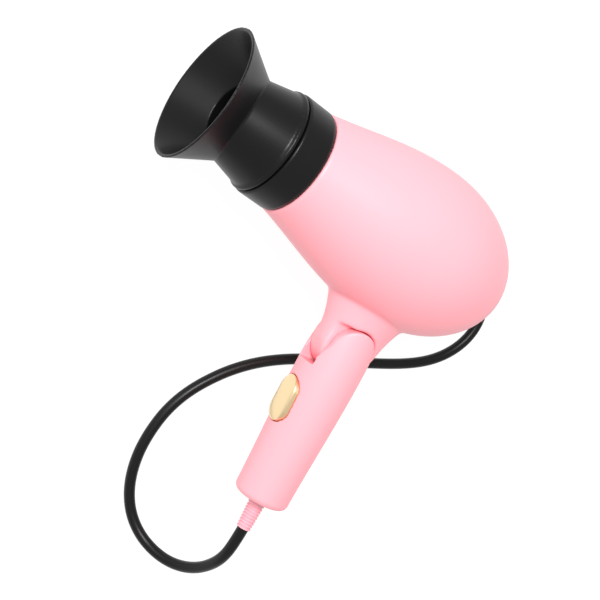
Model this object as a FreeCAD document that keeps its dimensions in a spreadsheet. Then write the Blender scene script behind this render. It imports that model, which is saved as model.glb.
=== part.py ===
import FreeCAD, Part
import Sketcher
import math
import os

# Folding hair dryer, millimetres. The origin is the grip point on the handle's axis, +X runs
# from the nozzle to the rear intake, +Y from the handle's butt to the barrel, and the casing
# parts on the mid-plane Z = 0. The barrel's own pieces are placed from the outlet ring's rear
# edge on the barrel's axis, the handle's pieces from the hinge pin, along the leaning handle.

SIZES = (
    # hinge pin, from the grip point, and the barrel from the hinge pin
    ("pivot_x", -7.3), ("pivot_y", 49.5), ("pivot_back", 83.5), ("pivot_drop", 65.0), ("lean", 7.0),
    # barrel casing
    ("wall", 2.2), ("mouth_r", 29.0), ("belly_x", 82.0), ("belly_r", 45.0), ("rear_len", 62.6),
    ("intake_r", 22.0), ("shell_gap", 0.15),
    # outlet ring and nozzle
    ("ring_len", 17.5), ("ring_wall", 2.6), ("ring_round", 1.8), ("nozzle_gap", 0.5), ("run_gap", 0.06),
    ("bead_len", 2.6), ("bead_r", 28.4), ("cone_base_r", 27.3), ("cone_tip_r", 21.2), ("cone_len", 26.0),
    ("flare_r", 37.0), ("flare_len", 26.0), ("nozzle_len", 62.0), ("waist_y", 22.9), ("waist_z", 13.5),
    ("nozzle_wall", 1.8), ("spigot_len", 9.0), ("spigot_wall", 1.8),
    # neck and hinge
    ("tongue_half", 8.0), ("slot_gap", 0.3), ("tongue_r", 15.6), ("cheek_r", 12.5), ("cheek_gap", 0.6),
    ("neck_x", 19.5), ("neck_z", 15.5), ("pin_r", 3.0), ("pin_half", 13.0),
    # handle
    ("handle_r", 17.8), ("handle_mid_r", 16.8), ("butt_r", 15.6), ("fold_deg", 70.0), ("handle_len", 94.5), ("handle_wall", 2.4),
    ("shoulder", 22.0), ("slot_lip", 14.5), ("slot_r", 17.0), ("bulkhead", 26.0), ("butt_round", 3.5),
    # switch
    ("switch_y", 38.0), ("button_len", 27.0), ("button_wide", 17.0), ("button_gap", 0.3), ("button_proud", 2.2),
    ("button_deep", 7.2), ("press", 1.5), ("switch_body_len", 21.0),
    # air path
    ("liner_r", 25.0), ("liner_wall", 0.5), ("liner_len", 58.0), ("board_half", 22.2), ("board_thick", 1.0),
    ("board_len", 50.0), ("wire_r", 0.7), ("duct_len", 42.0), ("duct_r", 36.0), ("duct_wall", 1.5),
    ("motor_r", 14.0), ("motor_len", 28.0), ("sleeve_wall", 1.5), ("shaft_r", 1.2), ("shaft_len", 22.0),
    ("hub_r", 8.0), ("fan_r", 33.5), ("fan_wide", 9.0), ("blade_thick", 1.2), ("grille_thick", 2.0),
    # mains cord
    ("cord_r", 3.25), ("floor_drop", 65.0), ("relief_len", 18.5), ("relief_r", 4.8), ("relief_tip_r", 4.1),
    ("coil_x", 118.0), ("coil_mid_r", 33.25), ("plug_len", 34.0), ("plug_wide", 35.0), ("plug_high", 14.0),
    ("plug_pin_r", 2.0), ("plug_pin_len", 19.0), ("plug_pin_pitch", 18.6),
)

doc = FreeCAD.newDocument("HairDryer")
sheet = doc.addObject("Spreadsheet::Sheet", "dims")
for row, (alias, value) in enumerate(SIZES, start=1):
    sheet.set("A%d" % row, alias)
    sheet.set("B%d" % row, str(value))
    sheet.setAlias("B%d" % row, alias)
doc.recompute()

V = FreeCAD.Vector
AXIS_X = V(1, 0, 0)
AXIS_Y = V(0, 1, 0)
AXIS_Z = V(0, 0, 1)
BARREL_AT = ("dims.pivot_x - dims.pivot_back", "dims.pivot_y + dims.pivot_drop", "0")
HINGE_AT = ("dims.pivot_x", "dims.pivot_y", "0")
nodes = {}


def size(alias):
    return float(sheet.get(alias))


def number(expression):
    return float(sheet.evalExpression(expression.replace("dims.", "")))


def move(shape, x=0.0, y=0.0, z=0.0):
    shape.translate(V(x, y, z))
    return shape


def place(obj, at, lean=False):
    """Puts a finished piece at its place in the part's frame, bound to the sheet."""
    if lean:
        obj.Placement = FreeCAD.Placement(V(), FreeCAD.Rotation(AXIS_Z, size("lean")))
        obj.setExpression("Placement.Rotation.Angle", "dims.lean * 1 deg")
    for letter, expression in zip("xyz", at):
        if expression != "0":
            obj.setExpression("Placement.Base." + letter, expression)


def node(name, obj, at=BARREL_AT, lean=False):
    obj.Label = name
    place(obj, at, lean)
    nodes[name] = obj
    return obj


def shaped(name, shape, at=BARREL_AT, lean=False):
    """A piece whose form no feature gives: its shape comes from Part's own functions."""
    piece = doc.addObject("Part::Feature", name)
    piece.Shape = shape.removeSplitter() if shape.isValid() else shape
    return node(name, piece, at, lean)


def bind(obj, **expressions):
    for prop, expression in expressions.items():
        obj.setExpression(prop, expression)
    return obj


def fixed_vertex(sketch, line, kind, expression):
    if expression == "0":
        axis = -2 if kind == "DistanceX" else -1
        sketch.addConstraint(Sketcher.Constraint("PointOnObject", line, 1, axis))
        return
    index = sketch.addConstraint(Sketcher.Constraint(kind, -1, 1, line, 1, number(expression)))
    sketch.setExpression("Constraints[%d]" % index, expression)


def turned(name, profile, at):
    """A body turned about X: profile is (along, radius) pairs of expressions from its front."""
    body = doc.addObject("PartDesign::Body", name)
    sketch = body.newObject("Sketcher::SketchObject", name + "_profile")
    plane = [f for f in body.Origin.OriginFeatures if f.Role == "XY_Plane"][0]
    sketch.AttachmentSupport = [(plane, "")]
    sketch.MapMode = "FlatFace"
    corners = [V(number(along), number(radius), 0) for along, radius in profile]
    count = len(corners)
    for i in range(count):
        sketch.addGeometry(Part.LineSegment(corners[i], corners[(i + 1) % count]))
    for i in range(count):
        sketch.addConstraint(Sketcher.Constraint("Coincident", i, 2, (i + 1) % count, 1))
    for i, (along, radius) in enumerate(profile):
        fixed_vertex(sketch, i, "DistanceX", along)
        fixed_vertex(sketch, i, "DistanceY", radius)
    doc.recompute()
    turn = body.newObject("PartDesign::Revolution", name + "_turn")
    turn.Profile = sketch
    turn.ReferenceAxis = (sketch, ["H_Axis"])
    turn.Angle = 360.0
    return node(name, body, at)


def from_ring(offset):
    """A place on the barrel's axis, this far behind the outlet ring's rear edge."""
    return ("dims.pivot_x - dims.pivot_back + (" + offset + ")", BARREL_AT[1], "0")


def rod(radius, length, x=0.0, y=0.0, z=0.0, axis=AXIS_X):
    return Part.makeCylinder(radius, length, V(x, y, z), axis)


def block(x, y, z, dx, dy, dz):
    return Part.makeBox(dx, dy, dz, V(x, y, z))


def slab(half):
    """All space within this distance of the mid-plane, near the object."""
    return block(-300, -300, -half, 600, 600, 2 * half)


def half_space(side):
    return block(-300, -300, 0 if side > 0 else -120, 600, 600, 120)


# ---- barrel casing -----------------------------------------------------------------------------

def egg(inset):
    """The barrel's egg: a swelling front curve, then a half ellipse to the rear."""
    mouth = size("mouth_r") - inset
    belly = size("belly_r") - inset
    belly_x = size("belly_x")
    front = Part.BezierCurve()
    front.setPoles([V(0, mouth, 0), V(0.34 * belly_x, mouth + 6, 0), V(0.64 * belly_x, belly, 0),
                    V(belly_x, belly, 0)])
    oval = Part.Ellipse(V(belly_x, 0, 0), size("rear_len") - inset, belly)
    tip_x = belly_x + size("rear_len") - inset
    rear = Part.ArcOfEllipse(oval, 0, math.pi / 2)
    edges = [front.toShape(), rear.toShape(),
             Part.makeLine(V(tip_x, 0, 0), V(0, 0, 0)), Part.makeLine(V(0, 0, 0), V(0, mouth, 0))]
    face = Part.Face(Part.Wire(Part.__sortEdges__(edges)))
    return face.revolve(V(), AXIS_X, 360)


def oval_wire(half_x, half_z, x, y):
    """A closed oval in a plane across Y."""
    major, minor = max(half_x, half_z), min(half_x, half_z)
    curve = Part.Ellipse(V(), major, minor).toShape()
    curve.rotate(V(), AXIS_X, 90)
    if half_z > half_x:
        curve.rotate(V(), AXIS_Y, 90)
    curve.translate(V(x, y, 0))
    return Part.Wire([curve])


def neck(inset):
    """The neck under the barrel, from inside the egg down past the hinge pin."""
    back = size("pivot_back")
    drop = size("pivot_drop")
    half_x = size("neck_x") - inset
    half_z = size("neck_z") - inset
    sections = [
        oval_wire(half_x + 13, half_z + 9, back - 1.0, -drop + 38),
        oval_wire(half_x + 4.5, half_z + 2.5, back - 1.0, -drop + 22),
        oval_wire(half_x, half_z, back + 0.5, -drop + 10),
        oval_wire(half_x - 1.5, half_z - 0.5, back + 1.0, -drop - 4),
    ]
    return Part.makeLoft(sections, True, False)


def cheek_outline(grow=0.0):
    """The outline that the fork's cheeks have from the side, as a thick plate about the hinge pin."""
    r = size("cheek_r") + grow
    low = size("shoulder") - grow
    wide = size("handle_r") + 2 + grow
    long = size("handle_len") + 5
    corners = [V(-r, 0, -40), V(-wide, -low, -40), V(-wide, -long, -40), V(wide, -long, -40),
               V(wide, -low + 10, -40), V(r * 0.9, r * 0.42, -40), V(-r, 0, -40)]
    plate = Part.Face(Part.makePolygon(corners)).extrude(V(0, 0, 80))
    return plate.fuse(Part.makeCylinder(r, 80, V(0, 0, -40), AXIS_Z))


def clear_of_fold(solid, cutter):
    """The solid with room left for the handle's cutter over the whole fold, in the barrel's place."""
    steps = 14
    for k in range(steps + 1):
        tool = cutter.copy()
        tool.rotate(V(), AXIS_Z, size("lean") - size("fold_deg") * k / steps)
        tool.translate(V(size("pivot_back"), -size("pivot_drop"), 0))
        solid = solid.cut(tool)
    return solid


def barrel_case():
    back = size("pivot_back")
    drop = size("pivot_drop")
    wall = size("wall")
    half = size("tongue_half")
    deep = 60.0
    foot = block(back - 60, -drop - 60, -deep, 120, 57, 2 * deep)
    outer_neck = neck(0.0).cut(foot)
    shoulders = clear_of_fold(outer_neck.cut(slab(half)), cheek_outline(size("cheek_gap")))
    lip = block(-30, -60, -deep, 60, 60 - size("slot_lip") + size("cheek_gap"), 2 * deep)
    lip = lip.fuse(block(0, -60, -deep, 30, 60 + size("cheek_gap"), 2 * deep))
    lip = lip.cut(rod(size("slot_r") - size("cheek_gap"), 2 * deep, 0, 0, -deep, AXIS_Z))
    web = clear_of_fold(outer_neck.common(slab(half)), lip)
    nose = rod(size("tongue_r"), 2 * half, back, -drop, -half, AXIS_Z)
    solid = egg(0.0).fuse([shoulders, nose, web])
    hollow = egg(wall).fuse(neck(wall).common(block(0, -drop + 17, -deep, 200, 60, 2 * deep)))
    case = solid.cut(hollow)
    case = case.cut(rod(size("mouth_r") - wall, 6, -1))
    case = case.cut(rod(size("intake_r"), 60, size("belly_x") + 20))
    bore = size("pin_r") + size("run_gap")
    return case.cut(rod(bore, 2 * deep, back, -drop, -deep, AXIS_Z))


case = barrel_case()
shaped("barrel_shell_left", case.common(half_space(1)))
shaped("barrel_shell_right", case.common(half_space(-1)))

# ---- outlet ring and nozzle --------------------------------------------------------------------

ring = turned("outlet_ring", (
    ("0", "dims.mouth_r - dims.ring_wall"), ("0", "dims.mouth_r - 0.6"), ("0.6", "dims.mouth_r"),
    ("dims.ring_len - dims.ring_round", "dims.mouth_r"), ("dims.ring_len", "dims.mouth_r - 0.5*dims.ring_round"),
    ("dims.ring_len", "dims.mouth_r - dims.ring_wall"),
), from_ring("-dims.ring_len"))


def flare(inset):
    """The flare: round at the mouth, flattened to an oval where it grows out of the cone."""
    rim = Part.Wire([Part.Circle(V(-size("nozzle_len"), 0, 0), AXIS_X, size("flare_r") - inset).toShape()])
    waist = Part.Ellipse(V(), size("waist_y") - inset, size("waist_z") - inset).toShape()
    waist.rotate(V(), AXIS_Z, 90)
    waist.rotate(V(), AXIS_Y, 90)
    waist.rotate(V(), AXIS_X, 90 if waist.BoundBox.ZLength > waist.BoundBox.YLength else 0)
    waist.translate(V(size("flare_len") - size("nozzle_len"), 0, 0))
    return Part.makeLoft([rim, Part.Wire([waist])], True, True)


def nozzle_body():
    rear = -size("ring_len") - size("nozzle_gap")
    wall = size("nozzle_wall")
    base = rear - size("bead_len")
    tip = base - size("cone_len")
    long = size("cone_len")
    cone = Part.makeCone(size("cone_tip_r"), size("cone_base_r"), long, V(tip, 0, 0), AXIS_X)
    bead = rod(size("bead_r"), size("bead_len"), base)
    bead = bead.makeFillet(0.8, [e for e in bead.Edges if e.Curve.TypeId == "Part::GeomCircle"])
    outer_r = size("mouth_r") - size("ring_wall") - size("run_gap")
    spigot = rod(outer_r, size("spigot_len") + size("nozzle_gap"), rear)
    outer = cone.fuse([bead, spigot, flare(0.0)])
    bore = outer_r - size("spigot_wall")
    inner = rod(bore, 60, base)
    throat = Part.makeCone(size("cone_tip_r") - wall, bore, long, V(tip, 0, 0), AXIS_X)
    body = outer.cut(inner.fuse([throat, flare(wall)]))
    return body.cut(rod(size("cone_tip_r") - wall, 10, -size("nozzle_len") - 10))


shaped("nozzle", nozzle_body())

# ---- air path inside the barrel ----------------------------------------------------------------

def outlet_grille():
    """A rim inside the outlet ring with crossed bars, which the mica liner stands against."""
    rim_r = size("mouth_r") - size("ring_wall")
    thick = size("grille_thick")
    front = -thick - 3.0
    rim = rod(rim_r, thick, front).cut(rod(size("liner_r") - 1.2, thick, front))
    bars = []
    for k in range(4):
        bar = block(front, -rim_r + 1.0, -0.7, thick, 2 * rim_r - 2.0, 1.4)
        bar.rotate(V(), AXIS_X, 45 * k)
        bars.append(bar)
    mesh_ring = rod(14.5, thick, front).cut(rod(13.0, thick, front))
    return rim.fuse(bars + [mesh_ring])


shaped("outlet_grille", outlet_grille())
liner = turned("mica_liner", (
    ("0", "dims.liner_r - dims.liner_wall"), ("0", "dims.liner_r"), ("dims.liner_len", "dims.liner_r"),
    ("dims.liner_len", "dims.liner_r - dims.liner_wall"),
), from_ring("-3"))


def heater_boards():
    """Two mica boards that cross on the axis, notched for the wire."""
    half = size("board_half")
    thick = size("board_thick")
    long = size("board_len")
    flat = block(0, -half, -thick / 2, long, 2 * half, thick)
    upright = block(0, -thick / 2, -half, long, thick, 2 * half)
    return flat.fuse(upright)


shaped("heater_boards", heater_boards())
wires = []
for turn in range(6):
    loop = Part.makeTorus(size("board_half") + size("wire_r") + 0.15, size("wire_r"), V(6 + 7.5 * turn, 0, 0), AXIS_X)
    wires.append(loop)
shaped("heater_wire", Part.makeCompound(wires))
shaped("thermal_cutout", block(18, 4, size("board_thick") / 2, 12, 8, 4))


def fan_housing():
    """The duct behind the heater: a collar on the liner, a flange in the casing, the motor's sleeve."""
    front = size("liner_len") - 3.0
    wall = size("duct_wall")
    long = size("duct_len")
    flange_r = size("belly_r") - size("wall") - 0.4
    collar = Part.makeCone(size("liner_r"), size("duct_r"), 12, V(front, 0, 0), AXIS_X)
    collar = collar.cut(Part.makeCone(size("liner_r") - wall, size("duct_r") - wall, 12, V(front, 0, 0), AXIS_X))
    tube = rod(size("duct_r"), long - 12, front + 12).cut(rod(size("duct_r") - wall, long, front + 12))
    flange = rod(flange_r, 2.0, size("belly_x") - 1).cut(rod(size("duct_r") - 0.5, 2.0, size("belly_x") - 1))
    sleeve_r = size("motor_r") + size("sleeve_wall")
    sleeve = rod(sleeve_r, size("motor_len") - 8, front + 14).cut(rod(size("motor_r"), size("motor_len"), front + 14))
    vanes = []
    for k in range(5):
        vane = block(front + 14, sleeve_r - 0.4, -0.8, size("motor_len") - 8, size("duct_r") - wall - sleeve_r + 0.8, 1.6)
        vane.rotate(V(), AXIS_X, 72 * k)
        vanes.append(vane)
    return collar.fuse([tube, flange, sleeve] + vanes)


shaped("fan_housing", fan_housing())
motor_front = "dims.liner_len + 8"
motor = turned("motor", (
    ("0", "dims.shaft_r + dims.run_gap"), ("0", "dims.motor_r"), ("dims.motor_len - 3", "dims.motor_r"),
    ("dims.motor_len", "dims.motor_r - 5"), ("dims.motor_len", "dims.shaft_r + dims.run_gap"),
), from_ring(motor_front))
shaft_front = size("liner_len") + 8 + size("motor_len") - 12


def shaft():
    return rod(size("shaft_r"), size("shaft_len"), shaft_front)


def fan_wheel():
    """Seven twisted blades on a hub that is pressed on the motor shaft."""
    front = size("liner_len") + 8 + size("motor_len") + 1.0
    wide = size("fan_wide")
    hub = rod(size("hub_r"), wide, front)
    blades = []
    for k in range(7):
        blade = block(-wide / 2, 0, -size("blade_thick") / 2, wide, size("fan_r"), size("blade_thick"))
        blade = blade.cut(block(-wide, 0, -2, 2 * wide, size("hub_r") - 1, 4))
        blade.rotate(V(), AXIS_Y, 38)
        blade.translate(V(front + wide / 2, 0, 0))
        blade.rotate(V(), AXIS_X, 360 / 7 * k)
        blades.append(blade)
    wheel = hub.fuse(blades).common(rod(size("fan_r"), wide, front))
    return wheel.cut(rod(size("shaft_r"), 2 * wide, front - 2))


shaped("motor_shaft", shaft())
shaped("fan_wheel", fan_wheel())


def intake_grille():
    """A domed cap that carries the egg's curve on, with ring slots crossed by ribs."""
    radius = size("intake_r") - size("shell_gap")
    thick = size("grille_thick")
    cap = egg(0.0).cut(egg(thick)).common(rod(radius, 60, size("belly_x") + 20))
    slots = []
    for inner in (6.0, 10.5, 15.0):
        slots.append(rod(inner + 2.6, 60, size("belly_x") + 20).cut(rod(inner, 60, size("belly_x") + 20)))
    ribs = []
    for k in range(3):
        rib = block(size("belly_x") + 20, -30, -1.0, 60, 60, 2.0)
        rib.rotate(V(), AXIS_X, 60 * k)
        ribs.append(rib)
    openings = slots[0].fuse(slots[1:]).cut(ribs[0].fuse(ribs[1:]))
    lip_x = size("belly_x") + (size("rear_len") - thick) * math.sqrt(1 - (radius / (size("belly_r") - thick)) ** 2)
    lip = rod(radius + 3.0, 1.2, lip_x - 2.6).cut(rod(radius - 2.0, 2, lip_x - 3))
    throat = rod(radius, 3.2, lip_x - 1.6).cut(rod(radius - 1.6, 4, lip_x - 2))
    return cap.cut(openings).fuse([lip.common(egg(size("wall") + 0.1)), throat.common(egg(0.6))])


shaped("intake_grille", intake_grille())

# ---- handle ------------------------------------------------------------------------------------

def handle_form(inset, top, end):
    """The handle's tapering round form between two distances along it."""
    stations = ((-13.0, size("handle_r") - 0.8), (20.0, size("handle_r")), (55.0, size("handle_mid_r")),
                (size("handle_len"), size("butt_r")))
    wires = [oval_wire(r - inset, r - inset - 0.001, 0, -y) for y, r in stations]
    form = Part.makeLoft(wires, True, False)
    return form.common(block(-40, -end, -40, 80, end - top, 80))


def button_form(grow, deep, proud):
    """The switch button's long oval, from this deep under the handle's skin to proud of it."""
    half_wide = size("button_wide") / 2 + grow
    straight = size("button_len") - size("button_wide")
    skin = size("handle_r") - 0.6
    front = -skin - proud
    long = deep + proud
    middle = block(front, -size("switch_y") - straight / 2, -half_wide, long, straight, 2 * half_wide)
    ends = [rod(half_wide, long, front, -size("switch_y") + s * straight / 2) for s in (-1, 1)]
    return middle.fuse(ends).removeSplitter()


def handle_screws():
    """Two screws along Z that draw the handle's shells together."""
    return Part.makeCompound([rod(1.5, 8, x, -y, -4, AXIS_Z) for x, y in ((13.4, 32.0), (12.0, 74.0))])


def handle_case():
    long = size("handle_len")
    half = size("tongue_half") + size("slot_gap")
    form = handle_form(0, -14, long)
    rim = [e for e in form.Edges if abs(e.BoundBox.YMin + long) < 0.01 and abs(e.BoundBox.YMax + long) < 0.01]
    form = form.makeFillet(size("butt_round"), rim)
    fork = form.common(cheek_outline())
    slot = Part.makeCylinder(size("slot_r"), 2 * half, V(0, 0, -half), AXIS_Z)
    mouth = block(-40, -size("slot_lip"), -half, 40, 60, 2 * half)
    top = block(-40, 0, -half, 80, 60, 2 * half)
    hollow = handle_form(size("handle_wall"), size("bulkhead"), long - size("handle_wall"))
    body = fork.cut(slot.fuse([mouth, top])).cut(hollow)
    body = body.cut(button_form(size("button_gap"), 10, 10))
    body = body.cut(rod(size("relief_r"), 20, 0, -long - 5, 0, AXIS_Y))
    body = body.cut(handle_screws())
    return body.cut(rod(size("pin_r"), 2 * size("pin_half"), 0, 0, -size("pin_half"), AXIS_Z))


handle = handle_case()
shaped("handle_shell_left", handle.common(half_space(1)), HINGE_AT, True)
shaped("handle_shell_right", handle.common(half_space(-1)), HINGE_AT, True)
pin = bind(doc.addObject("Part::Cylinder", "hinge_pin"), Radius="dims.pin_r", Height="2 * dims.pin_half")
node("hinge_pin", pin, (HINGE_AT[0], HINGE_AT[1], "-dims.pin_half"))


def switch_button():
    form = button_form(0, size("button_deep"), size("button_proud"))
    front = form.BoundBox.XMin
    crown = [e for e in form.Edges if e.BoundBox.XMax < front + 0.01]
    return form.makeFillet(1.6, crown)


shaped("switch_button", switch_button(), HINGE_AT, True)
skin_x = -size("handle_r") + 0.6
switch_front = skin_x + size("button_deep") + size("press") + 0.2
shaped("switch_body", block(switch_front, -size("switch_y") - size("switch_body_len") / 2, -6, 9, size("switch_body_len"), 12),
       HINGE_AT, True)
shaped("diode_board", block(switch_front + 9, -size("switch_y") - 18, -14.1, 1.6, 28, 28.2), HINGE_AT, True)
clamp_y = -size("handle_len") + 9


def cord_clamp():
    """A bar across the cord's tail, held down by two screws."""
    bar = block(-12.3, clamp_y, -4.4, 24.6, 6, 4.0)
    return bar.cut(rod(1.3, 10, -8, clamp_y + 3, -6, AXIS_Z)).cut(rod(1.3, 10, 8, clamp_y + 3, -6, AXIS_Z))


shaped("cord_clamp", cord_clamp(), HINGE_AT, True)
shaped("clamp_screws", Part.makeCompound([
    rod(1.25, 6, s * 8, clamp_y + 3, -7, AXIS_Z).fuse(rod(2.4, 1.6, s * 8, clamp_y + 3, -8.6 + 2.6 + 5.6, AXIS_Z))
    for s in (-1, 1)]), HINGE_AT, True)

# ---- strain relief, cord and plug --------------------------------------------------------------

def strain_relief():
    """A tapering sleeve, ribbed along its lower part, that grows out of the handle's butt."""
    long = size("relief_len")
    top = size("relief_r")
    tip = size("relief_tip_r")
    start = -size("handle_len") + size("handle_wall") + 1.5
    smooth = 4.0
    profile = [V(0, start, 0), V(top + 1.6, start, 0), V(top + 1.6, start - 1.4, 0),
               V(top, start - 1.4, 0), V(top, -size("handle_len") - smooth, 0)]
    ribs = 8
    pitch = (long - smooth) / ribs
    for k in range(ribs):
        y = -size("handle_len") - smooth - k * pitch
        r = top + (tip - top) * (k + 0.5) / ribs
        profile += [V(r - 0.45, y, 0), V(r - 0.45, y - 0.4 * pitch, 0), V(r, y - 0.4 * pitch, 0), V(r, y - pitch, 0)]
    profile += [V(0, -size("handle_len") - long, 0), profile[0]]
    return Part.Face(Part.makePolygon(profile)).revolve(V(), AXIS_Y, 360)


shaped("strain_relief", strain_relief(), HINGE_AT, True)

# The cord's route in the part's frame: out of the relief, down to the surface it lies on, round a
# wide loop, under the handle, round behind the barrel and into its coil. Chosen by hand.
FLOOR_Z = -size("floor_drop") + size("cord_r")
ROUTE = (
    (6.5, -62.7, 0.0), (8.1, -74.5, -1.0), (9.9, -84.5, -5.5), (10.9, -93.0, -13.0), (10.2, -100.5, -21.5),
    (7.3, -106.3, -30.5), (2.2, -109.8, -39.5), (-5.2, -110.2, -48.0), (-14.2, -107.2, -55.0),
    (-23.5, -100.2, -59.8), (-31.5, -90.0, FLOOR_Z), (-37.5, -78.0, FLOOR_Z), (-41.0, -65.0, FLOOR_Z),
    (-42.0, -51.5, FLOOR_Z), (-41.0, -38.0, FLOOR_Z), (-37.0, -24.5, FLOOR_Z), (-30.0, -11.5, FLOOR_Z),
    (-20.2, 1.8, FLOOR_Z), (-6.8, 14.5, FLOOR_Z), (11.2, 26.4, FLOOR_Z), (33.5, 37.0, FLOOR_Z),
    (56.8, 47.8, FLOOR_Z), (77.1, 58.7, FLOOR_Z), (90.5, 68.5, FLOOR_Z), (99.5, 79.0, FLOOR_Z),
    (105.0, 91.0, FLOOR_Z), (106.0, 103.5, FLOOR_Z), (102.0, 115.5, FLOOR_Z), (93.5, 126.5, FLOOR_Z),
    (82.0, 135.5, FLOOR_Z), (68.5, 142.5, FLOOR_Z), (55.0, 148.0, FLOOR_Z), (44.0, 151.5, FLOOR_Z),
)


def cord_tube(route, radius, label):
    """A tube along straight runs joined by arcs, each as large as its two runs allow."""
    points = [V(*p) for p in route]
    edges = []
    start = points[0]
    radii = []
    for before, corner, after in zip(points, points[1:], points[2:]):
        back = before - corner
        ahead = after - corner
        turn = math.pi - back.getAngle(ahead)
        reach = 0.45 * min(back.Length, ahead.Length)
        bend = reach / math.tan(turn / 2)
        radii.append(bend)
        enter = corner + back.normalize() * reach
        leave = corner + ahead.normalize() * reach
        middle = (back + ahead).normalize()
        through = corner + middle * (bend / math.cos(turn / 2) - bend)
        edges.append(Part.LineSegment(start, enter).toShape())
        edges.append(Part.Arc(enter, through, leave).toShape())
        start = leave
    edges.append(Part.LineSegment(start, points[-1]).toShape())
    wire = Part.Wire(edges)
    heading = points[1] - points[0]
    section = Part.Wire([Part.Circle(points[0], heading, radius).toShape()])
    tube = wire.makePipeShell([section], True, False)
    print("%s: length %.1f, smallest radius %.1f, volume over section x length %.4f" % (
        label, wire.Length, min(radii), tube.Volume / (math.pi * radius ** 2 * wire.Length)))
    return tube


shaped("cord_tube", cord_tube(ROUTE, size("cord_r"), "cord_tube"), ("0", "0", "0"))

COLUMNS = 3
LAYERS = 2
coil_centre = V(number("dims.pivot_x - dims.pivot_back") + size("coil_x"), number("dims.pivot_y + dims.pivot_drop"), 0)
coil_half = COLUMNS * size("cord_r")
coil_high = 2 * LAYERS * size("cord_r")
coil_base = -size("floor_drop")
coil = Part.makeCylinder(size("coil_mid_r") + coil_half, coil_high, V(0, 0, coil_base))
coil = coil.cut(Part.makeCylinder(size("coil_mid_r") - coil_half, coil_high, V(0, 0, coil_base)))
coil_at = ("dims.pivot_x - dims.pivot_back + dims.coil_x", BARREL_AT[1], "0")
shaped("cord_coil", coil, coil_at)


def cord_tie():
    """A strap round the coil's turns."""
    wide = 9.0
    gap = 0.6
    thick = 1.0
    inner = block(size("coil_mid_r") - coil_half - gap, -wide / 2, coil_base, 2 * (coil_half + gap), wide, coil_high)
    outer = block(size("coil_mid_r") - coil_half - gap - thick, -wide / 2, coil_base,
                  2 * (coil_half + gap + thick), wide, coil_high + thick)
    tie = outer.cut(inner)
    tie.rotate(V(), AXIS_Z, -60)
    return tie


shaped("cord_tie", cord_tie(), coil_at)

# The coil's last turn leaves on a tangent at this angle and runs straight into the plug.
LEAVE = math.radians(120)
out = V(math.cos(LEAVE), math.sin(LEAVE), 0)
heading = V(-math.sin(LEAVE), math.cos(LEAVE), 0)
outer_turn = size("coil_mid_r") + coil_half - size("cord_r")
plug_z = coil_base + size("plug_high") / 2
tail_start = coil_centre + out * outer_turn + V(0, 0, coil_base + coil_high - size("cord_r") - 0.3)
plug_rear = coil_centre + out * outer_turn + heading * 31 + V(0, 0, plug_z)
tail = Part.makeCylinder(size("cord_r"), (plug_rear - tail_start).Length, tail_start, plug_rear - tail_start)
shaped("cord_tail", tail, ("0", "0", "0"))


def plug_body():
    """A flat plug, narrowing to its cord, along +X from the cord's entry."""
    long = size("plug_len")
    wide = size("plug_wide")
    high = size("plug_high")
    entry = Part.makeCone(size("cord_r") + 1.0, size("plug_high") / 2 - 0.4, 12, V(), AXIS_X)
    head = block(10, -wide / 2, -high / 2, long - 10, wide, high)
    upright = [e for e in head.Edges if e.BoundBox.ZLength > high - 0.01]
    head = head.makeFillet(5.0, upright)
    return head.fuse(entry)


def turned_to_plug(shape):
    shape.rotate(V(), AXIS_Z, math.degrees(math.atan2(heading.y, heading.x)))
    shape.translate(plug_rear)
    return shape


shaped("plug_body", turned_to_plug(plug_body()), ("0", "0", "0"))
plug_pins = [rod(size("plug_pin_r"), size("plug_pin_len"), size("plug_len"), s * size("plug_pin_pitch") / 2)
             for s in (-1, 1)]
shaped("plug_pins", turned_to_plug(Part.makeCompound(plug_pins)), ("0", "0", "0"))

# ---- casing screws -----------------------------------------------------------------------------

shaped("barrel_screws", Part.makeCompound([
    rod(1.5, 16, x, y, -8, AXIS_Z) for x, y in ((70, 39.5), (97, 39.0))]))
shaped("handle_screws", handle_screws(), HINGE_AT, True)

# ---- check and write ---------------------------------------------------------------------------

doc.recompute()
for obj in doc.Objects:
    if "Invalid" in obj.State or "Error" in obj.State:
        raise RuntimeError("%s is %s" % (obj.Label, obj.State))
for name, obj in nodes.items():
    if obj.Shape.isNull() or not obj.Shape.isValid():
        raise RuntimeError("%s has no valid shape" % name)
os.makedirs("parts", exist_ok=True)
for name, obj in nodes.items():
    obj.Shape.exportStep("parts/%s.step" % name)
    box = obj.Shape.BoundBox
    print("%-22s %9.0f mm3  x %7.1f %7.1f  y %7.1f %7.1f  z %6.1f %6.1f  solids %d" % (
        name, obj.Shape.Volume, box.XMin, box.XMax, box.YMin, box.YMax, box.ZMin, box.ZMax, len(obj.Shape.Solids)))
print(len(nodes), "nodes")
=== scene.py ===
import bpy
import math
from mathutils import Matrix, Vector


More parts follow.
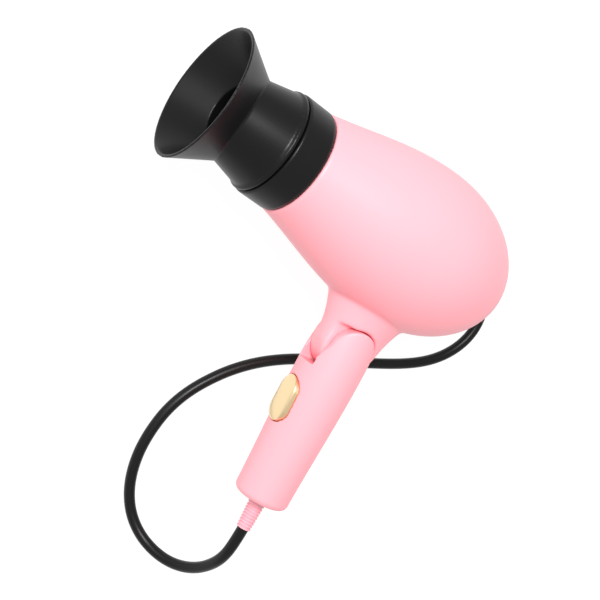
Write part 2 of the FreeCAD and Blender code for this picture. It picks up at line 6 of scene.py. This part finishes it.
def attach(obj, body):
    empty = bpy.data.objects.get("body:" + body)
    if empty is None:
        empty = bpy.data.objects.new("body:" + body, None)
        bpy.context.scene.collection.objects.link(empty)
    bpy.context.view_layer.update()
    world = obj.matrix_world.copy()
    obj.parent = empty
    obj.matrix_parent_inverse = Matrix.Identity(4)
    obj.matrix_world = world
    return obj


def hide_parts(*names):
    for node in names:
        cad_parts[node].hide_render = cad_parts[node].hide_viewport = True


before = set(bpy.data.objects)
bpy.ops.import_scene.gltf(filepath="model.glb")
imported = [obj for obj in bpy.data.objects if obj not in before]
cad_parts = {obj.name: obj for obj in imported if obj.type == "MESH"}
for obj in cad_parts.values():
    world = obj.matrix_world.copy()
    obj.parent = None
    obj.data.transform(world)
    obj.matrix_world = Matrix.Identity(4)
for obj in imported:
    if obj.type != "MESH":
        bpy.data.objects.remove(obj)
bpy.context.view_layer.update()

# ---- Camera and light ------------------------------------------------------------------------
# The dryer is seen from above and from the nozzle's side, with the camera rolled so that the
# nozzle points up to the left. The key light is soft and comes from overhead on the nozzle's side;
# a weak lamp lower down on the same side fills the handle.

MM = 0.001
FIELD_OF_VIEW = 28.0
CAMERA_AT = Vector((-352.5, 73.2, 544.6))
camera_data = bpy.data.cameras.new("view")
camera = bpy.data.objects.new("view", camera_data)
bpy.context.scene.collection.objects.link(camera)
camera_data.sensor_fit = "HORIZONTAL"
camera_data.angle = math.radians(FIELD_OF_VIEW)
to_right = Vector((0.7256, 0.5640, 0.3942))
to_top = Vector((-0.4809, 0.8254, -0.2957))
to_back = Vector((-0.4922, 0.0249, 0.8701))
axes = Matrix((to_right, to_top, to_back)).transposed()
camera.matrix_world = Matrix.Translation(CAMERA_AT * MM) @ axes.to_4x4()
bpy.context.scene.camera = camera
bpy.context.scene.view_settings.view_transform = "Standard"

FLOOR_Z = -65.0 * MM
bpy.ops.mesh.primitive_plane_add(size=6, location=(0, 0, FLOOR_Z - 0.0004))
floor = bpy.context.object
floor.name = "floor"
floor_paint = bpy.data.materials.new("floor_white")
floor_paint.use_nodes = True
floor_shader = floor_paint.node_tree.nodes["Principled BSDF"]
floor_shader.inputs["Base Color"].default_value = (0.12, 0.12, 0.12, 1)
floor_shader.inputs["Roughness"].default_value = 1.0
floor_shader.inputs["Specular IOR Level"].default_value = 0.0
floor_shader.inputs["Emission Color"].default_value = (1, 1, 1, 1)
floor_shader.inputs["Emission Strength"].default_value = 0.93
floor.data.materials.append(floor_paint)

world = bpy.data.worlds.new("studio")
bpy.context.scene.world = world
world.use_nodes = True
world.node_tree.nodes["Background"].inputs["Color"].default_value = (1.0, 1.0, 1.0, 1)
world.node_tree.nodes["Background"].inputs["Strength"].default_value = 0.66


def soft_light(name, place, aim, side, power):
    """A square studio lamp, this many metres a side, aimed at a point."""
    lamp = bpy.data.lights.new(name, "AREA")
    lamp.size = side
    lamp.energy = power
    holder = bpy.data.objects.new(name, lamp)
    holder.location = place
    holder.rotation_euler = (Vector(aim) - Vector(place)).to_track_quat("-Z", "Y").to_euler()
    bpy.context.scene.collection.objects.link(holder)


soft_light("key", (-0.56, 0.42, 1.0), (0, 0.08, 0), 0.4, 16.5)
soft_light("handle_fill", (-1.1, 0.2, 0.5), (0, 0.0, 0), 0.5, 2.0)

# ---- Mains cord ------------------------------------------------------------------------------
# Round two-core lead in black PVC. It leaves the strain relief, comes down to the surface, makes
# one wide loop and passes under the handle; the rest is wound in a tied coil under the barrel.

CORD_R = 3.25 * MM
CORD_Z = -61.75
ROUTE = (
    (6.5, -62.7, 0.0), (8.1, -74.5, -1.0), (9.9, -84.5, -5.5), (10.9, -93.0, -13.0), (10.2, -100.5, -21.5),
    (7.3, -106.3, -30.5), (2.2, -109.8, -39.5), (-5.2, -110.2, -48.0), (-14.2, -107.2, -55.0),
    (-23.5, -100.2, -59.8), (-31.5, -90.0, CORD_Z), (-37.5, -78.0, CORD_Z), (-41.0, -65.0, CORD_Z),
    (-42.0, -51.5, CORD_Z), (-41.0, -38.0, CORD_Z), (-37.0, -24.5, CORD_Z), (-30.0, -11.5, CORD_Z),
    (-20.2, 1.8, CORD_Z), (-6.8, 14.5, CORD_Z), (11.2, 26.4, CORD_Z), (33.5, 37.0, CORD_Z),
    (56.8, 47.8, CORD_Z), (77.1, 58.7, CORD_Z), (90.5, 68.5, CORD_Z), (99.5, 79.0, CORD_Z),
    (105.0, 91.0, CORD_Z), (106.0, 103.5, CORD_Z), (102.0, 115.5, CORD_Z), (93.5, 126.5, CORD_Z),
    (82.0, 135.5, CORD_Z), (68.5, 142.5, CORD_Z), (55.0, 148.0, CORD_Z), (44.0, 151.5, CORD_Z),
)
COIL_X = 27.2
COIL_Y = 114.5
COIL_TURN_R = (39.6, 33.1, 26.6, 26.6, 33.1, 39.6)
COIL_TURN_Z = (0.0, 0.0, 0.0, 6.4, 6.4, 6.4)
START_ANGLE = 80.0
LEAVE_ANGLE = 120.0
STEP = 20.0
CHANGE_OVER = 60.0
TAIL_R = 39.75
TAIL_RISE = 6.2
TAIL_LONG = 31
TAIL_FALLS = ((10, -0.6), (21, -2.2))
PLUG_Z = -58.0
route = [Vector(p) for p in ROUTE]
turn_count = len(COIL_TURN_R)
steps = int((360 * turn_count + LEAVE_ANGLE - START_ANGLE) / STEP)
for step in range(steps + 1):
    swung = step * STEP
    turn = min(int(swung // 360), turn_count - 1)
    turned = swung - 360 * turn - (360 - CHANGE_OVER)
    into = min(max(turned / CHANGE_OVER, 0), 1) if turn < turn_count - 1 else 0
    after = min(turn + 1, turn_count - 1)
    radius = COIL_TURN_R[turn] * (1 - into) + COIL_TURN_R[after] * into
    rise = COIL_TURN_Z[turn] * (1 - into) + COIL_TURN_Z[after] * into
    angle = math.radians(START_ANGLE + swung)
    corner_r = radius / math.cos(math.radians(STEP / 2)) ** 0.5
    across = COIL_X + corner_r * math.cos(angle)
    along = COIL_Y + corner_r * math.sin(angle)
    route.append(Vector((across, along, CORD_Z + rise)))
leave = math.radians(LEAVE_ANGLE)
heading = Vector((-math.sin(leave), math.cos(leave), 0))
leaving_x = COIL_X + TAIL_R * math.cos(leave)
leaving_y = COIL_Y + TAIL_R * math.sin(leave)
leaving_at = Vector((leaving_x, leaving_y, CORD_Z + TAIL_RISE))
plug_rear = leaving_at + heading * TAIL_LONG
plug_rear.z = PLUG_Z
for onward, fall in TAIL_FALLS:
    route.append(leaving_at + heading * onward + Vector((0, 0, fall)))
route.append(plug_rear)

line = bpy.data.curves.new("mains_cord", "CURVE")
line.dimensions = "3D"
spline = line.splines.new("NURBS")
spline.points.add(len(route) - 1)
for point, place in zip(spline.points, route):
    point.co = (*(place * MM), 1)
spline.order_u = 3
spline.use_endpoint_u = True
spline.resolution_u = 6
line.bevel_depth = CORD_R
line.bevel_resolution = 5
line.use_fill_caps = True
cord = bpy.data.objects.new("mains_cord", line)
bpy.context.scene.collection.objects.link(cord)


def moulding(name, colour, rough, grain=0.0004, bump=0.08, mottle=0.05, metal=0.0, coat=0.0, gloss=0.5):
    """A moulded surface: fine grain in the bump, and a slow drift in its colour and its shine."""
    paint = bpy.data.materials.new(name)
    paint.use_nodes = True
    tree = paint.node_tree
    shader = tree.nodes["Principled BSDF"]
    shader.inputs["Metallic"].default_value = metal
    shader.inputs["Coat Weight"].default_value = coat
    shader.inputs["Specular IOR Level"].default_value = gloss
    shader.inputs["Coat Roughness"].default_value = 0.25
    place = tree.nodes.new("ShaderNodeTexCoord")
    fine = tree.nodes.new("ShaderNodeTexNoise")
    fine.inputs["Scale"].default_value = 1 / grain
    fine.inputs["Detail"].default_value = 3
    slow = tree.nodes.new("ShaderNodeTexNoise")
    slow.inputs["Scale"].default_value = 28
    slow.inputs["Detail"].default_value = 4
    tree.links.new(place.outputs["Object"], fine.inputs["Vector"])
    tree.links.new(place.outputs["Object"], slow.inputs["Vector"])
    tint = tree.nodes.new("ShaderNodeMix")
    tint.data_type = "RGBA"
    tint.inputs["A"].default_value = (*[c * (1 - mottle) for c in colour], 1)
    tint.inputs["B"].default_value = (*[min(1, c * (1 + mottle)) for c in colour], 1)
    tree.links.new(slow.outputs["Fac"], tint.inputs["Factor"])
    tree.links.new(tint.outputs["Result"], shader.inputs["Base Color"])
    shine = tree.nodes.new("ShaderNodeMapRange")
    shine.inputs["To Min"].default_value = rough - 0.06
    shine.inputs["To Max"].default_value = rough + 0.06
    tree.links.new(slow.outputs["Fac"], shine.inputs["Value"])
    tree.links.new(shine.outputs["Result"], shader.inputs["Roughness"])
    relief = tree.nodes.new("ShaderNodeBump")
    relief.inputs["Strength"].default_value = bump
    relief.inputs["Distance"].default_value = 0.0002
    tree.links.new(fine.outputs["Fac"], relief.inputs["Height"])
    tree.links.new(relief.outputs["Normal"], shader.inputs["Normal"])
    return paint


def finish(piece, slot, body, material, *replaced):
    """Gives a finished piece its body, its material and the CAD nodes it stands for. The slot is not used.
    """
    piece.data.materials.clear()
    piece.data.materials.append(material)
    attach(piece, body)
    if replaced:
        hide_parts(*replaced)


cord_pvc = moulding("cord_pvc", (0.005, 0.005, 0.005), 0.34, grain=0.0006, bump=0.1, gloss=0.22)
finish(cord, "cord", "handle", cord_pvc, "cord_tube", "cord_coil", "cord_tail")

# ---- Plug, its pins and the coil's tie -------------------------------------------------------
# A flat two-pin plug moulded on the cord in black PVC, its finger grip drawn in at the sides. The
# pins are nickel plated. The tie is a rubber strap closed round the six turns of the coil.


def stack_rings(name, stations, segments=48):
    """A turned form along +Z, made from a disc that is extruded and resized ring by ring."""
    bpy.ops.object.select_all(action="DESELECT")
    first, radius = stations[0]
    bpy.ops.mesh.primitive_circle_add(vertices=segments, radius=radius * MM, fill_type="NGON",
                                      location=(0, 0, first * MM), rotation=(0, 0, math.pi / segments))
    piece = bpy.context.object
    piece.name = name
    bpy.ops.object.transform_apply(location=True, rotation=True, scale=True)
    bpy.ops.object.mode_set(mode="EDIT")
    bpy.ops.mesh.select_all(action="SELECT")
    for place, wide in stations[1:]:
        bpy.ops.mesh.extrude_region_move(TRANSFORM_OT_translate={"value": (0, 0, (place - first) * MM)})
        scale = wide / radius
        bpy.ops.transform.resize(value=(scale, scale, 1), center_override=(0, 0, place * MM))
        first, radius = place, wide
    bpy.ops.mesh.select_all(action="SELECT")
    bpy.ops.mesh.normals_make_consistent(inside=False)
    bpy.ops.object.mode_set(mode="OBJECT")
    return piece


def only(piece):
    """Leaves this piece alone selected, and active."""
    bpy.ops.object.select_all(action="DESELECT")
    piece.select_set(True)
    bpy.context.view_layer.objects.active = piece


def put(piece, turn, place):
    """Turns a piece made round the origin and moves it to its place, in its mesh."""
    piece.data.transform(Matrix.Translation(Vector(place)) @ turn.to_4x4())
    piece.data.update()


def smooth_by_angle(piece, degrees=35):
    """Smooth shading over every edge flatter than this."""
    only(piece)
    bpy.ops.object.shade_smooth_by_angle(angle=math.radians(degrees))


def select_faces(piece, wanted):
    """Leaves edit mode's selection on the faces that a test picks out by place and normal."""
    bpy.ops.object.mode_set(mode="OBJECT")
    for face in piece.data.polygons:
        face.select = bool(wanted(face.center, face.normal))
    bpy.ops.object.mode_set(mode="EDIT")
    bpy.ops.mesh.select_mode(type="FACE")


def apply_all(piece):
    """Applies every modifier on the piece, in order."""
    only(piece)
    for modifier in list(piece.modifiers):
        bpy.ops.object.modifier_apply(modifier=modifier.name)


PLUG_WIDE = 34.6
PLUG_HIGH = 13.6
HEAD_LONG = 24
HEAD_MIDDLE = 22
REAR_STEPS = ((4, 6, 0.52, 0.86), (5.6, 0.4, 0.74, 0.74))
GRIP_FROM = 12
GRIP_RIM = 3.2
GRIP_SHARE = 0.86
PIN_PITCH = 18.6
along_plug = Matrix.Rotation(math.atan2(heading.y, heading.x), 3, "Z")
bpy.ops.object.select_all(action="DESELECT")
bpy.ops.mesh.primitive_cube_add(size=1, location=(HEAD_MIDDLE * MM, 0, 0),
                                scale=(HEAD_LONG * MM, PLUG_WIDE * MM, PLUG_HIGH * MM))
plug = bpy.context.object
plug.name = "mains_plug"
bpy.ops.object.transform_apply(location=True, rotation=True, scale=True)
select_faces(plug, lambda centre, normal: normal.x < -0.9)
for back, ends_at, wide_share, high_share in REAR_STEPS:
    bpy.ops.mesh.extrude_region_move(TRANSFORM_OT_translate={"value": (-back * MM, 0, 0)})
    bpy.ops.transform.resize(value=(1, wide_share, high_share), center_override=(ends_at * MM, 0, 0))
select_faces(plug, lambda centre, normal: abs(normal.y) > 0.9 and centre.x > GRIP_FROM * MM)
bpy.ops.mesh.inset(thickness=GRIP_RIM * MM)
bpy.ops.transform.resize(value=(1, GRIP_SHARE, 1), center_override=(0, 0, 0))
bpy.ops.object.mode_set(mode="OBJECT")
plug_round = plug.modifiers.new("edges", "BEVEL")
plug_round.width = 1.6 * MM
plug_round.segments = 3
plug_round.limit_method = "ANGLE"
plug_round.angle_limit = math.radians(25)
apply_all(plug)
put(plug, along_plug, plug_rear * MM)
smooth_by_angle(plug)
finish(plug, "plug", "handle", moulding("plug_pvc", (0.014, 0.014, 0.015), 0.42, bump=0.15), "plug_body")

PIN_FORM = ((34.0, 1.9), (44.0, 1.9), (44.1, 1.98), (51.6, 1.98), (52.6, 1.5), (52.95, 0.5))
nickel = moulding("nickel", (0.62, 0.6, 0.57), 0.24, grain=0.0009, bump=0.03, metal=1.0)
for side in (-1, 1):
    pin = stack_rings("plug_pin_%s" % ("left" if side > 0 else "right"), PIN_FORM, 24)
    pin_foot = plug_rear + along_plug @ Vector((0, side * PIN_PITCH / 2, 0))
    put(pin, along_plug @ Matrix.Rotation(math.pi / 2, 3, "Y"), pin_foot * MM)
    smooth_by_angle(pin)
    finish(pin, "pins", "handle", nickel, "plug_pins")

tie = bpy.data.objects.new("coil_tie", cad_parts["cord_tie"].data.copy())
bpy.context.scene.collection.objects.link(tie)
only(tie)
bpy.ops.object.mode_set(mode="EDIT")
bpy.ops.mesh.select_all(action="SELECT")
bpy.ops.mesh.remove_doubles(threshold=0.00001)
bpy.ops.mesh.dissolve_limited(angle_limit=math.radians(2))
bpy.ops.object.mode_set(mode="OBJECT")
tie_round = tie.modifiers.new("edges", "BEVEL")
tie_round.width = 0.3 * MM
tie_round.segments = 2
apply_all(tie)
finish(tie, "cord_tie", "handle", moulding("tie_rubber", (0.02, 0.02, 0.02), 0.6, bump=0.2), "cord_tie")

# ---- Strain relief ---------------------------------------------------------------------------
# A soft pink sleeve that tapers from the handle's butt to the cord: a plain collar, then eight
# ribs with narrow grooves between them, which let it bend without kinking the cord.

PIVOT = Vector((-7.3, 49.5, 0))
LEAN = math.radians(7.0)
HANDLE_LEN = 94.5
RELIEF_LEN = 18.5
SLEEVE_R = 4.7
SLEEVE_TAPER = 0.6
RIBS_FROM = 4.2
RIBS = 8
RIB_FORM = ((0.1, 0.75), (0.36, 0.75), (0.5, 0.12), (0.68, 0.0), (0.84, 0.12))
down_handle = Matrix.Rotation(LEAN, 3, "Z") @ Matrix.Rotation(math.pi / 2, 3, "X")
collar = ((-3.5, 4.6), (0.4, SLEEVE_R), (3.6, SLEEVE_R), (4.0, 4.3))
sleeve = [(HANDLE_LEN + past, radius) for past, radius in collar]
pitch = (RELIEF_LEN - RIBS_FROM) / RIBS
for rib in range(RIBS):
    at = HANDLE_LEN + RIBS_FROM + rib * pitch
    crest = SLEEVE_R - SLEEVE_TAPER * (rib + 0.5) / RIBS
    sleeve += [(at + share * pitch, crest - deep) for share, deep in RIB_FORM]
sleeve.append((HANDLE_LEN + RELIEF_LEN, 3.4))
relief = stack_rings("cord_strain_relief", sleeve, 40)
put(relief, down_handle, PIVOT * MM)
smooth_by_angle(relief, 50)
pink_rubber = moulding("pink_rubber", (0.86, 0.36, 0.42), 0.5, grain=0.0003, bump=0.15)
finish(relief, "pink_rubber", "handle", pink_rubber, "strain_relief")

# ---- Casings ---------------------------------------------------------------------------------
# The handle and the barrel are each two thin moulded half shells of pink satin plastic that meet
# on the mid-plane. The neck flows into the barrel, and every outer edge is softly rounded.


def soft_copy(name, nodes, voxel, passes):
    """One skin over a copy of these frame pieces, its facets remeshed away and its edges eased."""
    bpy.ops.object.select_all(action="DESELECT")
    for node in nodes:
        part = bpy.data.objects.new(name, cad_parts[node].data.copy())
        bpy.context.scene.collection.objects.link(part)
        part.select_set(True)
        bpy.context.view_layer.objects.active = part
    if len(nodes) > 1:
        bpy.ops.object.join()
    shell = bpy.context.view_layer.objects.active
    bpy.ops.object.mode_set(mode="EDIT")
    bpy.ops.mesh.select_all(action="SELECT")
    bpy.ops.mesh.remove_doubles(threshold=0.00001)
    bpy.ops.object.mode_set(mode="OBJECT")
    skin = shell.modifiers.new("skin", "REMESH")
    skin.mode = "VOXEL"
    skin.voxel_size = voxel * MM
    skin.use_smooth_shade = True
    ease = shell.modifiers.new("ease", "SMOOTH")
    ease.factor = 0.5
    ease.iterations = passes
    apply_all(shell)
    return shell


def melt_neck(shell, passes):
    """Rounds the neck's nose and the band where the neck grows out of the barrel.

    The effect fades out from 18 to 32 mm above the hinge and from 26 to 34 mm to its sides.
    """
    band = shell.vertex_groups.new(name="neck_root")
    for v in shell.data.vertices:
        up = v.co.y / MM - PIVOT.y
        aside = abs(v.co.x / MM - PIVOT.x - 1)
        weight = min(1, max(0, 1 - (up - 18) / 14)) * max(0, 1 - max(0, aside - 26) / 8)
        if weight > 0:
            band.add([v.index], weight, "REPLACE")
    melt = shell.modifiers.new("melt", "SMOOTH")
    melt.factor = 0.5
    melt.iterations = passes
    melt.vertex_group = "neck_root"
    apply_all(shell)
    shell.vertex_groups.clear()


def half_of(shell, name, side):
    """The half of a whole casing on one side of its mid-plane, closed along the joint."""
    half = shell.copy()
    half.data = shell.data.copy()
    half.name = name
    bpy.context.scene.collection.objects.link(half)
    only(half)
    bpy.ops.object.mode_set(mode="EDIT")
    bpy.ops.mesh.select_all(action="SELECT")
    bpy.ops.mesh.bisect(plane_co=(0, 0, side * 0.01 * MM), plane_no=(0, 0, side), use_fill=True,
                        clear_inner=True)
    bpy.ops.object.mode_set(mode="OBJECT")
    smooth_by_angle(half, 50)
    return half


pink = moulding("pink_satin", (0.95, 0.35, 0.395), 0.42, grain=0.00022, bump=0.06, mottle=0.015, coat=0.06,
                gloss=0.35)
for body, whole, voxel in (("handle", "handle_shell", 0.6), ("barrel", "barrel_shell", 0.9)):
    case = soft_copy(whole + "_whole", (whole + "_left", whole + "_right"), voxel, 4)
    if body == "barrel":
        melt_neck(case, 16)
    for side, label in ((1, "left"), (-1, "right")):
        finish(half_of(case, whole + "_half_" + label, side), "pink_shell", body, pink, whole + "_" + label)
    bpy.data.objects.remove(case)

# ---- Switch button ---------------------------------------------------------------------------
# A long oval cap with a gold plated face: a plain skirt inside the handle and a low dome that the
# thumb presses. It is turned round, then drawn out along the handle by its straight stretch.

BUTTON_AT = Vector((-10.0, -38.0, 0))
HALF_STRAIGHT = 5.0
CAP_FORM = ((0.0, 8.35), (7.3, 8.35), (7.6, 8.2), (7.8, 7.8), (8.15, 7.2), (8.5, 6.3), (8.85, 5.1),
            (9.15, 3.6), (9.3, 2.0), (9.36, 0.6))
button = stack_rings("switch_cap", CAP_FORM, 64)
for v in button.data.vertices:
    v.co.y += math.copysign(HALF_STRAIGHT * MM, v.co.y)
facing = Matrix.Rotation(LEAN, 3, "Z") @ Matrix.Rotation(-math.pi / 2, 3, "Y")
put(button, facing, (PIVOT + Matrix.Rotation(LEAN, 3, "Z") @ BUTTON_AT) * MM)
smooth_by_angle(button, 40)
gold = moulding("gold_plate", (0.90, 0.70, 0.42), 0.32, grain=0.0007, bump=0.05, mottle=0.05, metal=1.0)
finish(button, "gold", "switch", gold, "switch_button")

# ---- Nozzle and outlet ring ------------------------------------------------------------------
# Both are moulded in black satin plastic. The nozzle is a cone that opens into a flattened flare
# with a thin rim; a bead stops it against the ring, which is fixed round the barrel's mouth. The
# intake at the barrel's rear is moulded in the same plastic.

black = moulding("black_satin", (0.0045, 0.0045, 0.005), 0.34, grain=0.00025, bump=0.08, mottle=0.08,
                 gloss=0.2)
finish(soft_copy("flared_nozzle", ("nozzle",), 0.55, 3), "black_shell", "nozzle", black, "nozzle")
finish(soft_copy("outlet_collar", ("outlet_ring",), 0.5, 3), "black_shell", "barrel", black, "outlet_ring")
finish(soft_copy("rear_intake", ("intake_grille",), 0.5, 2), "black_shell", "barrel", black, "intake_grille")

# ---- Inside ----------------------------------------------------------------------------------
# The pieces inside keep the exact form they have in the frame, and each gets the surface of its
# own stuff: mica boards with their wire, the motor and the fan, the hinge pin and the screws, the
# switch's body and its diode board. Some show through the grilles and the rest are hidden.

mica = moulding("mica", (0.55, 0.46, 0.32), 0.5, grain=0.0012, bump=0.3, mottle=0.25)
steel = moulding("steel", (0.45, 0.45, 0.46), 0.35, grain=0.0006, bump=0.08, metal=1.0)
black_inside = moulding("black_inside", (0.03, 0.03, 0.03), 0.55, bump=0.12)
board_green = moulding("board_green", (0.02, 0.12, 0.05), 0.45, bump=0.1)
INSIDE = (
    (mica, ("mica_liner", "heater_boards")),
    (steel, ("heater_wire", "thermal_cutout", "motor", "motor_shaft", "hinge_pin", "clamp_screws",
             "handle_screws", "barrel_screws")),
    (black_inside, ("outlet_grille", "fan_housing", "fan_wheel", "switch_body", "cord_clamp")),
    (board_green, ("diode_board",)),
)
for material, names in INSIDE:
    for node in names:
        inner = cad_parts[node]
        inner.data.materials.clear()
        inner.data.materials.append(material)
